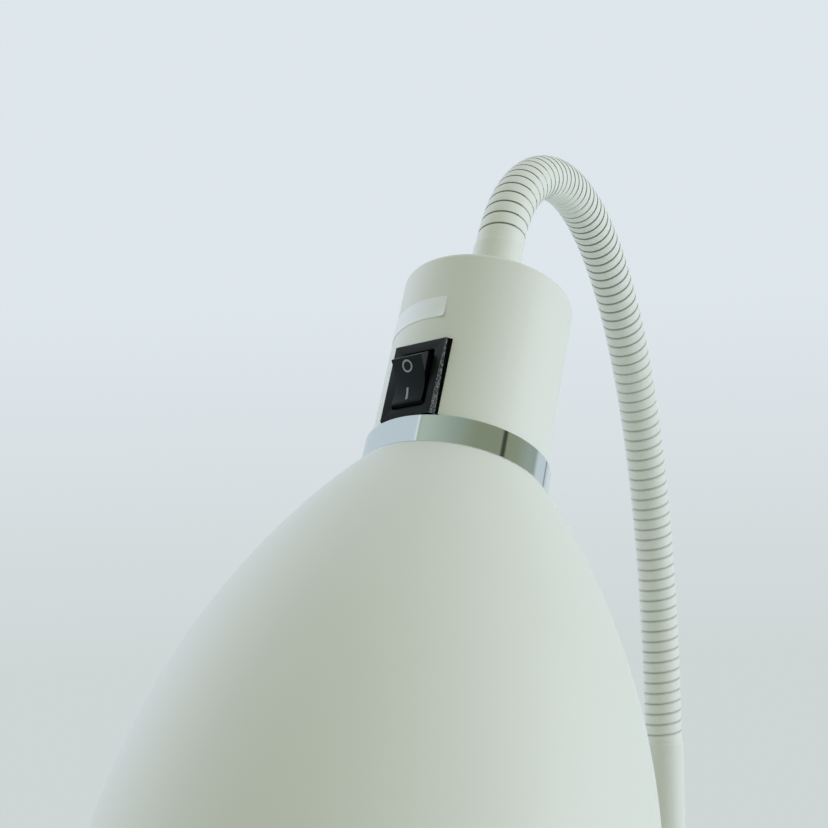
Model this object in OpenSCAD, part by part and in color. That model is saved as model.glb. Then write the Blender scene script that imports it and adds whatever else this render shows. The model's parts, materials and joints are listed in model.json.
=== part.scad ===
// Floor lamp with a flexible ribbed neck: a weighted round base, a pole in three screwed sections,
// a neck that bends any way, and a head with a round switch housing, a trim ring and a bell shade.
// Millimetres, +Z up, the origin on the floor under the pole; the head hangs towards -Y.

/* [Base] */
// Diameter of the base cover
base_d = 240; // [200:1:300]
// Height of the base cover
base_h = 16; // [14:0.5:30]
// Sheet of the base cover
base_wall = 1.2; // [0.8:0.1:2]
// Radius of the base cover's top edge
base_edge_r = 6; // [3:0.5:8]
// Thickness of the pad under the base
pad_h = 3; // [2:0.5:6]
// Distance from the rim of the base in to the pad
pad_inset = 6; // [3:0.5:20]
// Diameter of the hollow for the nut under the weight
nut_hollow_d = 36; // [32:1:60]
// Bore of the cord inlet
inlet_d = 6.4; // [4:0.1:6.8]
// Height of the cord inlet above the cover's lower edge
inlet_z = 5; // [4.8:0.1:6]

/* [Pole] */
// Outer diameter of the pole
pole_d = 16; // [15:0.5:25]
// Wall of the pole
pole_wall = 1; // [0.8:0.1:1.4]
// Length of one pole section
section_l = 360; // [200:1:450]
// Height of the ring that shows between two sections
joint_ring_h = 1; // [0.6:0.1:3]
// Reach of a coupler or plug into a section
plug_l = 24; // [15:1:60]
// Diameter of the foot flange
flange_d = 42; // [34:1:80]
// Diameter of the threaded tubes that hold the parts together
stud_d = 10; // [9:0.1:10.6]
// Diameter of the supply lead
lead_d = 4.6; // [3:0.1:4.8]

/* [Neck] */
// Outer diameter of the neck
neck_d = 12.5; // [11.5:0.1:14]
// Bore of the neck
neck_bore_d = 5.2; // [5:0.1:6.4]
// Distance from rib to rib
rib_pitch = 3.6; // [3:0.1:5]
// Width of the groove between two ribs
groove_w = 0.5; // [0.3:0.05:0.9]
// Depth of the groove between two ribs
groove_depth = 0.6; // [0.3:0.05:1]
// Angle through which the whole neck bends, in degrees
neck_turn = 148.2; // [60:0.1:165]
// Bend of one link against that of the link below it
bend_growth = 1.212; // [1.02:0.001:1.25]
// Diameter of the ferrule that holds the neck's lower end
ferrule_d = 13.4; // [13.3:0.1:14.8]
// Height of the ferrule above the pole
ferrule_l = 40; // [25:1:80]

/* [Housing] */
// Length of the collar between the neck and the housing
collar_l = 16.4; // [10:0.1:30]
// Diameter of the collar at the housing
collar_d = 13.4; // [13.2:0.1:16]
// Diameter of the housing
housing_d = 43.5; // [42:0.1:50]
// Height of the housing from its top to the trim ring
housing_h = 46.6; // [45:0.1:60]
// Sheet of the housing
housing_wall = 0.8; // [0.6:0.1:1]
// Radius of the housing's top edge
housing_edge_r = 1.2; // [1.1:0.1:4]
// Diameter of the trim ring
ring_d = 46; // [45.5:0.1:46.4]
// Height of the trim ring
ring_h = 7.7; // [7:0.1:12]
// Turn of the switch about the head's axis, off the neck's plane, in degrees
switch_turn = 15.6; // [-40:0.1:40]

/* [Switch] */
// Length of the switch's bezel, along the head
bezel_l = 20.7; // [20.2:0.1:24]
// Width of the switch's bezel
bezel_w = 15.6; // [15:0.1:15.8]
// Thickness of the switch's bezel
bezel_h = 1.85; // [1.6:0.05:2.5]
// Gap between the bezel and the trim ring
bezel_gap = 0.2; // [0.1:0.05:2]
// Width of the rocker
rocker_w = 9; // [8:0.1:9.6]
// Length of the rocker's face, from tip to tip
rocker_l = 11.4; // [10:0.1:12.4]
// Angle the rocker tips to each side, in degrees
rocker_tilt = 17; // [8:0.5:18]

/* [Shade] */
// Diameter of the shade's flat top
shade_top_d = 46.6; // [46.5:0.1:60]
// Diameter of the shade's mouth
shade_mouth_d = 126.6; // [110:0.1:160]
// Height of the shade
shade_h = 110; // [104:0.5:150]
// Radius of the shade's curved wall
shade_arc_r = 179; // [120:1:400]
// Sheet of the shade
shade_wall = 1; // [0.8:0.1:1.6]

/* [Lamp] */
// Diameter of the lampholder
holder_d = 28; // [25:0.5:34]
// Length of the lampholder
holder_l = 44; // [42:0.5:60]
// Diameter of the lamp's screw cap
cap_d = 13.9; // [13:0.1:15]
// Diameter of the lamp's glass ball
ball_d = 45; // [35:0.5:50]
// Length of the lamp from its tip to the end of its glass
lamp_l = 77; // [70:0.5:90]

/* [Hidden] */
$fn = 96;
// Gap between a part and the bore or pocket it sits in
fit_gap = 0.1;
// Gap round a pivot pin
pin_gap = 0.05;
// How far a cut runs past the face it opens
cut = 1;

cream = [0.91, 0.90, 0.85];
black = [0.10, 0.10, 0.11];
steel = [0.62, 0.63, 0.65];
gold = [0.80, 0.66, 0.34];

stud_r = stud_d / 2;
stud_bore_r = 3.4;
stud_hole_r = stud_r + fit_gap;
nut_wall = 3;
nut_r = (stud_r + nut_wall) / cos(30);
nut_h = 5;
washer_h = 1.5;
washer_rim = 1;
// Length of a threaded tube beyond its nut
stud_spare = 1;

base_r = base_d / 2;
base_top = pad_h + base_h;
cover_in_r = base_r - base_wall;
cover_in_edge = base_edge_r - base_wall;
weight_h = base_h - base_wall;
weight_r = cover_in_r - fit_gap;
weight_chamfer = cover_in_edge;
hollow_gap = 0.5;
nut_hollow_h = washer_h + nut_h + stud_spare + hollow_gap;
base_stud_z0 = pad_h + hollow_gap;
bush_wall = 0.8;
bush_lip = 0.7;
inlet_bush_r = inlet_d / 2 + bush_wall;
inlet_flange_r = inlet_bush_r + bush_lip;
inlet_flange_h = 1.2;
channel_gap = 0.5;
channel_w = 2 * (inlet_flange_r + channel_gap);
channel_h = inlet_z + inlet_flange_r + channel_gap;

pole_r = pole_d / 2;
pole_in_r = pole_r - pole_wall;
plug_r = pole_in_r - fit_gap;
lead_bore_r = neck_bore_d / 2;
flange_floor = 2;
flange_edge = 1.2;
flange_lip = 2;
flange_r = flange_d / 2;
flange_h = flange_edge + flange_r - pole_r - flange_lip;
pole_z0 = base_top + flange_floor;
section_step = section_l + joint_ring_h;
pole_top = pole_z0 + 2 * section_step + section_l;
ferrule_cone_l = 10;
ferrule_rim = 0.5;
ferrule_rim_h = 1.3;
neck_z0 = pole_top + ferrule_l;

neck_r = neck_d / 2;
neck_bore_r = neck_bore_d / 2;
link_count = 13;
ribs_per_link = 6;
link_l = ribs_per_link * rib_pitch;
link_sides = 16;
// Slope of a link's end face, and how far it lies back at the bore and at the rim
link_gap = 0.1;
relief_angle = 6.3;
face_back = [for (r = [neck_bore_r, neck_r]) link_gap / 2 + r * tan(relief_angle)];

housing_r = housing_d / 2;
housing_in_r = housing_r - housing_wall;
ring_r = ring_d / 2;
collar_rim = 0.25;
housing_z0 = collar_l;
ring_z0 = housing_z0 + housing_h;
shade_z0 = ring_z0 + ring_h;
collar_stud_l = housing_wall + washer_h + nut_h + stud_spare;
plate_wall = 1.5;
plate_h = 6.5;
plate_r = housing_in_r - fit_gap;
holder_stud_l = 9;
holder_stud_top = shade_z0 - plate_wall - nut_h - stud_spare;

switch_z = ring_z0 - bezel_gap - bezel_l / 2;
// Depth of the flat that the bezel sits on, below the housing's round wall
seat_depth = 1.6;
seat_y = housing_r - seat_depth;
seat_margin = 0.1;
bezel_front = seat_y + bezel_h;
bezel_corner_r = 0.5;
// Width and depth of the bevel along each long side of the bezel
bezel_bevel_w = 0.5;
bezel_bevel_h = 0.7;
body_w = 12.8;
body_l = 18.8;
body_depth = 13;
pivot_depth = 2.5;
pivot_y = bezel_front - pivot_depth;
pin_r = 1;
pin_l = 0.9;
well_gap = 0.3;
well_end_gap = 0.7;
well_depth = 5.2;
// The rocker seen from its side: heights above and below the pivot, and lengths past the face's tips
rocker_mid = 3.7;
rocker_tip = 5.1;
rocker_tip_flat = 0.4;
rocker_foot = 2.2;
rocker_flare = 1.3;
rocker_drop = 2.5;
rocker_taper = 1;
tab_w = 4.8;
tab_t = 0.8;
tab_l = 8;
tab_step = 9.5;
wire_d = 2;
wire_x = 1.15;
// Length of a wire's end inside a threaded tube, and how far its guide points stand off
wire_seat = 2;
wire_guide = 11;
wire_bow = 9;

shade_top_r = shade_top_d / 2;
mouth_r = shade_mouth_d / 2;
bead_r = 1;
bead_inset = 1.2;
bead_rise = 0.5;
holder_r = holder_d / 2;
holder_z0 = shade_z0 + shade_wall;
holder_z1 = holder_z0 + holder_l;
holder_head_l = 12;
holder_mouth_l = 6;
holder_wall = 2;
holder_shoulder = 3;
shell_wall = 1.3;
cap_gap = 0.2;
shell_in_r = cap_d / 2 + cap_gap;
shell_out_r = shell_in_r + shell_wall;
contact_h = 4;
tip_z = holder_z0 + holder_head_l + contact_h + fit_gap;
tip_h = 1.5;
tip_r = 2.5;
tip_flare = 1;
cap_l = 24;
glass_wall = 0.8;
glass_neck_r = cap_d / 2 + glass_wall;
glass_neck_l = 2;
ball_r = ball_d / 2;
ball_z = tip_z + lamp_l - ball_r;
glass_z0 = tip_z + cap_l;

LINK_NAMES = [for (k = [1:link_count]) str("neck_link_", k < 10 ? "0" : "", k)];

// Points along an arc from angle a to angle b about c
function arc(c, r, a, b, n = 8) =
    [for (i = [0:n]) c + r * [cos(a + (b - a) * i / n), sin(a + (b - a) * i / n)]];

// A vector in the neck's plane turned by an angle from straight up towards -Y
function tipped(a, v) = [v.x, v.y * cos(a) - v.z * sin(a), v.y * sin(a) + v.z * cos(a)];

// The neck: each link bends more than the one below it, by the same factor
function bent_below(k) = neck_turn * (pow(bend_growth, k) - 1) / (pow(bend_growth, link_count) - 1);
function link_bend(k) = bent_below(k + 1) - bent_below(k);
function bend_r(k) = link_l / (link_bend(k) * PI / 180);
function link_span(k) = bend_r(k) * [0, cos(link_bend(k)) - 1, sin(link_bend(k))];
// A ring of points round the bent line of link k, at a distance s along it and then straight on by lift
function link_ring(k, s, r, lift = 0) =
    let (a = s / bend_r(k) * 180 / PI, c = bend_r(k) * [0, cos(a) - 1, sin(a)])
    [for (j = [0:link_sides - 1])
        c + tipped(a, [r * cos(360 * j / link_sides), r * sin(360 * j / link_sides), lift])];
function link_start(k) =
    k == 0 ? [0, 0, neck_z0] : link_start(k - 1) + tipped(bent_below(k - 1), link_span(k - 1));
neck_end = link_start(link_count);

// Points along a curve drawn by four guide points
function curve(p, first = 0, n = 14) =
    [for (i = [first:n]) let (t = i / n, u = 1 - t)
        u * u * u * p[0] + 3 * u * u * t * p[1] + 3 * u * t * t * p[2] + t * t * t * p[3]];

module in_head() {
    translate(neck_end) rotate([neck_turn, 0, 0]) children();
}

// At the switch, x runs across it, y points out of the housing and z runs towards the shade
module in_switch() {
    in_head() rotate([0, 0, switch_turn]) translate([0, 0, switch_z]) children();
}

module turned(profile) {
    rotate_extrude() polygon(profile);
}

module tube(out_r, in_r, l) {
    difference() {
        cylinder(r = out_r, h = l);
        translate([0, 0, -cut]) cylinder(r = in_r, h = l + 2 * cut);
    }
}

module hex_nut() {
    difference() {
        cylinder(r = nut_r, h = nut_h, $fn = 6);
        translate([0, 0, -cut]) cylinder(r = stud_hole_r, h = nut_h + 2 * cut);
    }
}

// A flat outline in x and z, given thickness from y0 out to y1
module slab(y0, y1) {
    rotate([90, 0, 0]) translate([0, 0, -y1]) linear_extrude(y1 - y0) children();
}

module rounded_rect(w, l, r) {
    square([w - 2 * r, l], center = true);
    square([w, l - 2 * r], center = true);
    for (x = [-1, 1], y = [-1, 1]) {
        translate([x * (w / 2 - r), y * (l / 2 - r)]) circle(r);
    }
}

// A round wire swept along points, with eight sides
module wire(points, r) {
    n = len(points);
    sides = 8;
    ring = [for (i = [0:n - 1])
        let (d = points[min(i + 1, n - 1)] - points[max(i - 1, 0)],
            t = d / norm(d),
            u = cross(t, [1, 0, 0]) / norm(cross(t, [1, 0, 0])),
            v = cross(t, u))
        for (j = [0:sides - 1])
            points[i] + r * (cos(360 * j / sides) * u + sin(360 * j / sides) * v)];
    walls = [for (i = [0:n - 2], j = [0:sides - 1])
        let (a = i * sides + j, b = i * sides + (j + 1) % sides)
        each [[a, b, a + sides], [b, b + sides, a + sides]]];
    ends = [for (j = [1:sides - 2])
        each [[0, j + 1, j], [(n - 1) * sides, (n - 1) * sides + j, (n - 1) * sides + j + 1]]];
    polyhedron(points = ring, faces = concat(walls, ends));
}

module base_pad() {
    color([0.16, 0.16, 0.17]) cylinder(r = base_r - pad_inset, h = pad_h);
}

module base_weight() {
    top = pad_h + weight_h;
    color([0.30, 0.30, 0.31]) difference() {
        turned([
            [stud_hole_r, pad_h],
            [weight_r, pad_h],
            [weight_r, top - weight_chamfer],
            [weight_r - weight_chamfer, top],
            [stud_hole_r, top]]);
        translate([0, 0, pad_h - cut]) cylinder(d = nut_hollow_d, h = nut_hollow_h + cut);
        translate([-channel_w / 2, 0, pad_h - cut]) cube([channel_w, base_r, channel_h + cut]);
    }
}

module base_cover() {
    under = base_top - base_wall;
    color(cream) difference() {
        turned(concat(
            [[base_r, pad_h]],
            arc([base_r - base_edge_r, base_top - base_edge_r], base_edge_r, 0, 90),
            [[stud_hole_r, base_top], [stud_hole_r, under]],
            arc([cover_in_r - cover_in_edge, under - cover_in_edge], cover_in_edge, 90, 0),
            [[cover_in_r, pad_h]]));
        translate([0, cover_in_r - base_wall, pad_h + inlet_z]) rotate([-90, 0, 0])
            cylinder(r = inlet_bush_r + fit_gap, h = 3 * base_wall);
    }
}

module base_stud() {
    color(steel) translate([0, 0, base_stud_z0])
        tube(stud_r, stud_bore_r, pole_z0 + plug_l - base_stud_z0);
}

module base_washer() {
    color(steel) translate([0, 0, pad_h + nut_hollow_h - washer_h])
        tube(nut_hollow_d / 2 - washer_rim, stud_hole_r, washer_h);
}

module base_nut() {
    color(steel) translate([0, 0, pad_h + nut_hollow_h - washer_h - nut_h]) hex_nut();
}

// Rubber bush in the cover's rim, with a flange on each side of the sheet
module cord_inlet() {
    face_y = base_r + fit_gap;
    back_y = cover_in_r - inlet_flange_h - 2 * fit_gap;
    color(black) translate([0, 0, pad_h + inlet_z]) rotate([-90, 0, 0]) difference() {
        union() {
            translate([0, 0, back_y]) cylinder(r = inlet_bush_r, h = face_y + inlet_flange_h - back_y);
            translate([0, 0, back_y]) cylinder(r = inlet_flange_r, h = inlet_flange_h);
            translate([0, 0, face_y]) cylinder(r = inlet_flange_r, h = inlet_flange_h);
        }
        translate([0, 0, back_y - cut])
            cylinder(d = inlet_d, h = face_y + inlet_flange_h - back_y + 2 * cut);
    }
}

module foot_flange() {
    pocket_r = pole_r + fit_gap;
    sweep_r = flange_h - flange_edge;
    color(cream) translate([0, 0, base_top]) turned(concat(
        [[stud_hole_r, 0], [flange_r, 0]],
        arc([flange_r, flange_h], sweep_r, 270, 180, 12),
        [[pocket_r, flange_h], [pocket_r, flange_floor], [stud_hole_r, flange_floor]]));
}

module foot_plug() {
    color(steel) translate([0, 0, pole_z0]) tube(plug_r, stud_hole_r, plug_l);
}

module pole_section(n) {
    color(cream) translate([0, 0, pole_z0 + n * section_step]) tube(pole_r, pole_in_r, section_l);
}

module pole_lower() {
    pole_section(0);
}

module pole_middle() {
    pole_section(1);
}

module pole_upper() {
    pole_section(2);
}

// A plug in the ends of two sections, with a thin ring between them
module coupler(n) {
    color(cream) translate([0, 0, pole_z0 + n * section_step - joint_ring_h]) turned([
        [lead_bore_r, -plug_l],
        [plug_r, -plug_l],
        [plug_r, 0],
        [pole_r, 0],
        [pole_r, joint_ring_h],
        [plug_r, joint_ring_h],
        [plug_r, joint_ring_h + plug_l],
        [lead_bore_r, joint_ring_h + plug_l]]);
}

module coupler_lower() {
    coupler(1);
}

module coupler_upper() {
    coupler(2);
}

module pole_lead() {
    color(black) translate([0, 0, base_stud_z0]) cylinder(d = lead_d, h = neck_z0 - base_stud_z0);
}

module neck_ferrule() {
    ferrule_r = ferrule_d / 2;
    color(cream) translate([0, 0, pole_top]) turned([
        [lead_bore_r, -plug_l],
        [plug_r, -plug_l],
        [plug_r, 0],
        [pole_r, 0],
        [ferrule_r, ferrule_cone_l],
        [ferrule_r, ferrule_l - ferrule_rim_h],
        [ferrule_r - ferrule_rim, ferrule_l],
        [lead_bore_r, ferrule_l]]);
}

// Rings of points, each joined to the next and the last to the first
module ring_loft(rings) {
    sides = len(rings[0]);
    count = len(rings);
    faces = [for (i = [0:count - 1], j = [0:sides - 1])
        let (a = i * sides, b = (i + 1) % count * sides, next = (j + 1) % sides)
        each [[a + j, b + j, a + next], [a + next, b + j, b + next]]];
    polyhedron(points = [for (ring = rings) each ring], faces = faces);
}

// One link of the neck: ribs with a groove between each two, a bore, and end faces that slope back
// from the bore so that two links can tip; the neck's own ends are flat
module neck_link(k) {
    edge = groove_w / 2;
    first_back = k == 0 ? [0, 0] : face_back;
    last_back = k == link_count - 1 ? [0, 0] : face_back;
    outside = concat(
        [link_ring(k, 0, neck_r, first_back[1])],
        [for (j = [1:ribs_per_link - 1]) each [
            link_ring(k, j * rib_pitch - edge, neck_r),
            link_ring(k, j * rib_pitch, neck_r - groove_depth),
            link_ring(k, j * rib_pitch + edge, neck_r)]],
        [link_ring(k, link_l, neck_r, -last_back[1])]);
    bore = [
        link_ring(k, link_l, neck_bore_r, -last_back[0]),
        link_ring(k, link_l / 2, neck_bore_r),
        link_ring(k, 0, neck_bore_r, first_back[0])];
    color(cream) translate(link_start(k)) rotate([bent_below(k), 0, 0]) ring_loft(concat(outside, bore));
}

// Tapered collar from the neck to the housing, with a threaded end inside the housing
module neck_collar() {
    collar_r = collar_d / 2;
    color(cream) in_head() turned([
        [neck_bore_r, 0],
        [neck_r, 0],
        [neck_r + collar_rim, ferrule_rim_h],
        [collar_r, collar_l],
        [stud_r, collar_l],
        [stud_r, collar_l + collar_stud_l],
        [neck_bore_r, collar_l + collar_stud_l]]);
}

module collar_washer() {
    color(steel) in_head() translate([0, 0, housing_z0 + housing_wall])
        tube(nut_r + washer_rim, stud_hole_r, washer_h);
}

module collar_nut() {
    color(steel) in_head() translate([0, 0, housing_z0 + housing_wall + washer_h]) hex_nut();
}

// Drawn cup with a hole for the collar and a pressed flat with a window for the switch
module housing() {
    in_edge = housing_edge_r - housing_wall;
    top = housing_z0 + housing_wall;
    seat_w = bezel_w + 2 * seat_margin;
    seat_l = bezel_l + 2 * seat_margin;
    cup = concat(
        [[stud_hole_r, top], [stud_hole_r, housing_z0]],
        arc([housing_r - housing_edge_r, housing_z0 + housing_edge_r], housing_edge_r, -90, 0),
        [[housing_r, shade_z0], [housing_in_r, shade_z0]],
        arc([housing_in_r - in_edge, top + in_edge], in_edge, 0, -90));
    color(cream) difference() {
        union() {
            in_head() turned(cup);
            intersection() {
                in_head() cylinder(r = housing_r, h = shade_z0);
                in_switch() slab(seat_y - housing_wall, housing_r) square([seat_w, seat_l], center = true);
            }
        }
        in_switch() slab(seat_y, housing_r + cut) square([seat_w, seat_l], center = true);
        in_switch() slab(0, housing_r)
            square([body_w + 2 * fit_gap, body_l + 2 * fit_gap], center = true);
    }
}

module trim_ring() {
    in_r = housing_r + fit_gap;
    edge = 0.4;
    color([0.86, 0.87, 0.88]) in_head() turned([
        [in_r, ring_z0],
        [ring_r - edge, ring_z0],
        [ring_r, ring_z0 + edge],
        [ring_r, shade_z0 - edge],
        [ring_r - edge, shade_z0],
        [in_r, shade_z0]]);
}

// Section across the bezel, with a bevel along each long side
module bezel_section() {
    half = bezel_w / 2;
    polygon([
        [-half, seat_y],
        [half, seat_y],
        [half, bezel_front - bezel_bevel_h],
        [half - bezel_bevel_w, bezel_front],
        [bezel_bevel_w - half, bezel_front],
        [-half, bezel_front - bezel_bevel_h]]);
}

// Bezel and body in one moulding, with a well for the rocker and holes for its pins
module switch_body() {
    well_w = rocker_w + 2 * well_gap;
    well_l = rocker_l + 2 * (rocker_flare + well_end_gap);
    color(black) in_switch() difference() {
        union() {
            intersection() {
                slab(seat_y, bezel_front) rounded_rect(bezel_w, bezel_l, bezel_corner_r);
                linear_extrude(bezel_l, center = true) bezel_section();
            }
            slab(seat_y - body_depth, seat_y) square([body_w, body_l], center = true);
        }
        slab(pivot_y - well_depth, bezel_front + cut) square([well_w, well_l], center = true);
        translate([0, pivot_y, 0]) rotate([0, 90, 0])
            cylinder(r = pin_r + pin_gap, h = rocker_w + 2 * pin_l + 2 * well_gap, center = true);
    }
}

// Rocker with a hollowed face and sloping ends, on two pins; it rests tipped towards the shade
module switch_rocker() {
    half = rocker_l / 2;
    foot = half + rocker_flare;
    hollow = half - rocker_tip_flat;
    rise = rocker_tip - rocker_mid;
    face_r = (hollow * hollow + rise * rise) / (2 * rise);
    color([0.13, 0.13, 0.14]) in_switch() translate([0, pivot_y, 0]) rotate([rocker_tilt, 0, 0]) {
        rotate([90, 0, 90]) linear_extrude(rocker_w, center = true) difference() {
            polygon([
                [rocker_tip, half],
                [rocker_foot, foot],
                [-rocker_drop, foot - rocker_taper],
                [-rocker_drop, rocker_taper - foot],
                [rocker_foot, -foot],
                [rocker_tip, -half]]);
            translate([rocker_mid + face_r, 0]) circle(face_r);
        }
        rotate([0, 90, 0]) cylinder(r = pin_r, h = rocker_w + 2 * pin_l, center = true);
    }
}

module switch_tabs() {
    color(gold) in_switch() for (s = [-1, 1]) {
        translate([-tab_w / 2, seat_y - body_depth - tab_l, s * tab_step / 2 - tab_t / 2])
            cube([tab_w, tab_l, tab_t]);
    }
}

// Wires in the housing: one to the switch, one on from it, and one past it to the lampholder
module head_wires() {
    tab_y = seat_y - body_depth - tab_l - fit_gap;
    top = collar_l + collar_stud_l - wire_seat - switch_z;
    low = holder_stud_top + wire_seat - switch_z;
    loop_y = tab_y - wire_guide;
    top_guide = top + wire_guide;
    low_guide = low - wire_guide;
    bow = [wire_x + wire_d, -wire_bow, (top + low) / 2];
    bow_guide = [0, 0, wire_guide];
    color([0.55, 0.30, 0.20]) in_switch() {
        wire(curve([
            [-wire_x, 0, top],
            [-wire_x, 0, top_guide],
            [0, loop_y, -tab_step / 2],
            [0, tab_y, -tab_step / 2]]), wire_d / 2);
        wire(curve([
            [0, tab_y, tab_step / 2],
            [0, loop_y, tab_step / 2],
            [-wire_x, 0, low_guide],
            [-wire_x, 0, low]]), wire_d / 2);
        wire(concat(
            curve([[wire_x, 0, top], [wire_x, 0, top_guide], bow - bow_guide, bow]),
            curve([bow, bow + bow_guide, [wire_x, 0, low_guide], [wire_x, 0, low]], first = 1)), wire_d / 2);
    }
}

// Cup that closes the housing's mouth and is clamped to the shade's top
module head_plate() {
    color(steel) in_head() translate([0, 0, shade_z0]) turned([
        [stud_hole_r, 0],
        [plate_r, 0],
        [plate_r, -plate_h],
        [plate_r - plate_wall, -plate_h],
        [plate_r - plate_wall, -plate_wall],
        [stud_hole_r, -plate_wall]]);
}

module holder_stud() {
    color(steel) in_head() translate([0, 0, holder_stud_top])
        tube(stud_r, stud_bore_r, holder_z0 + holder_stud_l - holder_stud_top);
}

module holder_nut() {
    color(steel) in_head() translate([0, 0, shade_z0 - plate_wall - nut_h]) hex_nut();
}

// Spun bell: a flat top, one arc down to the mouth and a rolled bead inside the rim
module shade() {
    chord = [mouth_r - shade_top_r, shade_h];
    middle = [shade_top_r + chord.x / 2, chord.y / 2];
    reach = sqrt(shade_arc_r * shade_arc_r - chord * chord / 4);
    centre = middle + reach * [-chord.y, chord.x] / norm(chord);
    color(cream) in_head() translate([0, 0, shade_z0]) rotate_extrude() {
        intersection() {
            translate(centre) difference() {
                circle(shade_arc_r);
                circle(shade_arc_r - shade_wall);
            }
            square([shade_arc_r, shade_h]);
        }
        translate([stud_hole_r, 0]) square([shade_top_r - shade_wall / 2 - stud_hole_r, shade_wall]);
        translate([mouth_r - bead_inset, shade_h - bead_rise]) circle(bead_r);
    }
}

// Lampholder: a closed head on the threaded tube, a bore for the screw shell and a wider mouth
module lampholder() {
    bore_z = holder_z0 + holder_head_l;
    stud_top = holder_z0 + holder_stud_l + stud_spare;
    color([0.93, 0.92, 0.88]) in_head() turned([
        [stud_hole_r, holder_z0],
        [holder_r - holder_shoulder, holder_z0],
        [holder_r, holder_z0 + holder_shoulder],
        [holder_r, holder_z1],
        [holder_r - holder_wall, holder_z1],
        [holder_r - holder_wall, holder_z1 - holder_mouth_l],
        [shell_out_r + fit_gap, holder_z1 - holder_mouth_l],
        [shell_out_r + fit_gap, bore_z],
        [0, bore_z],
        [0, stud_top],
        [stud_hole_r, stud_top]]);
}

module screw_shell() {
    z0 = holder_z0 + holder_head_l;
    z1 = holder_z1 - holder_mouth_l;
    hole_r = tip_r + tip_flare;
    color(gold) in_head() turned([
        [hole_r, z0],
        [shell_out_r, z0],
        [shell_out_r, z1],
        [shell_in_r, z1],
        [shell_in_r, z0 + shell_wall],
        [hole_r, z0 + shell_wall]]);
}

module centre_contact() {
    color(gold) in_head() translate([0, 0, holder_z0 + holder_head_l]) cylinder(r = tip_r, h = contact_h);
}

module lamp_cap() {
    cap_r = cap_d / 2;
    color(steel) in_head() turned([
        [0, tip_z],
        [tip_r, tip_z],
        [tip_r + tip_flare, tip_z + tip_h],
        [cap_r, tip_z + 2 * tip_h],
        [cap_r, glass_z0],
        [0, glass_z0]]);
}

// Hollow glass: a short neck on the cap, flaring into a ball
module lamp_glass() {
    in_r = ball_r - glass_wall;
    in_neck_r = glass_neck_r - glass_wall;
    flare = 40;
    color([0.96, 0.96, 0.93]) in_head() turned(concat(
        [[0, glass_z0], [glass_neck_r, glass_z0], [glass_neck_r, glass_z0 + glass_neck_l]],
        arc([0, ball_z], ball_r, flare - 90, 90, 24),
        arc([0, ball_z], in_r, 90, flare - 90, 24),
        [[in_neck_r, glass_z0 + glass_neck_l], [in_neck_r, glass_z0 + glass_wall]],
        [[0, glass_z0 + glass_wall]]));
}

base_pad();
base_weight();
base_cover();
base_stud();
base_washer();
base_nut();
cord_inlet();
foot_flange();
foot_plug();
pole_lower();
coupler_lower();
pole_middle();
coupler_upper();
pole_upper();
pole_lead();
neck_ferrule();
for (k = [0:link_count - 1]) neck_link(k);
neck_collar();
collar_washer();
collar_nut();
housing();
trim_ring();
switch_body();
switch_rocker();
switch_tabs();
head_wires();
head_plate();
holder_stud();
holder_nut();
shade();
lampholder();
screw_shell();
centre_contact();
lamp_cap();
lamp_glass();
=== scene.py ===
import json
import math

import bmesh
import bpy
from mathutils import Matrix, Vector


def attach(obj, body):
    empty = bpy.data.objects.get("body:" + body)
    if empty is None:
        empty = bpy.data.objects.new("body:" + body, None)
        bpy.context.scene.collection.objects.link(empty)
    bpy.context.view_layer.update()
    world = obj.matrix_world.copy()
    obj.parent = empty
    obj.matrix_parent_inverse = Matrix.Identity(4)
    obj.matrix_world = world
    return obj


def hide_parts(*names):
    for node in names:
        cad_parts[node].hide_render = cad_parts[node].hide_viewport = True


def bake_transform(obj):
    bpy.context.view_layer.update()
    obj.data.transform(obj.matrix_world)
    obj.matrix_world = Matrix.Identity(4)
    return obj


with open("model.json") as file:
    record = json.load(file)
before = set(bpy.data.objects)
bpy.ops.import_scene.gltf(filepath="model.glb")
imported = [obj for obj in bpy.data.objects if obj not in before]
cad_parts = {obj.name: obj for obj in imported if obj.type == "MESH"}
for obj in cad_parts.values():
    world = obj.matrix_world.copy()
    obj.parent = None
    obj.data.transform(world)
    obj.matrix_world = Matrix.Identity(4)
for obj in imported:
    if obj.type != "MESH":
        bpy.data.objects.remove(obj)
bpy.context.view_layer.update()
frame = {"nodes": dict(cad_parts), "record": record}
nodes = frame["nodes"]

MM = 0.001
TURN = 2 * math.pi

# The neck's line, in the same steps as the solids: each link bends more than the one below it
NECK_FOOT = 1143 * MM
NECK_RADIUS = 6.25 * MM
NECK_BORE = 2.6 * MM
NECK_TURN = math.radians(148.2)
BEND_GROWTH = 1.212
LINK_COUNT = 13
RIB_PITCH = 3.6 * MM
LINK_LENGTH = 6 * RIB_PITCH
NECK_LENGTH = LINK_COUNT * LINK_LENGTH

# The head, in millimetres: how far along its axis from the neck's end the switch sits, and the switch's
# angle round that axis
SWITCH_ALONG = 52.45
SWITCH_TURN = math.radians(15.6)
HOUSING_RADIUS = 21.75


def bent_below(link):
    """How far the neck has turned where a link starts."""
    return NECK_TURN * (BEND_GROWTH**link - 1) / (BEND_GROWTH**LINK_COUNT - 1)


BEND_RADII = [LINK_LENGTH / (bent_below(link + 1) - bent_below(link)) for link in range(LINK_COUNT)]


def in_link(link, point):
    """A point of the straight neck, bent about the link's own centre, in the frame of the link's start."""
    radius = BEND_RADII[link]
    turn = (point.z - link * LINK_LENGTH) / radius
    reach = radius + point.y
    return Vector((point.x, reach * math.cos(turn) - radius, reach * math.sin(turn)))


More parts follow.
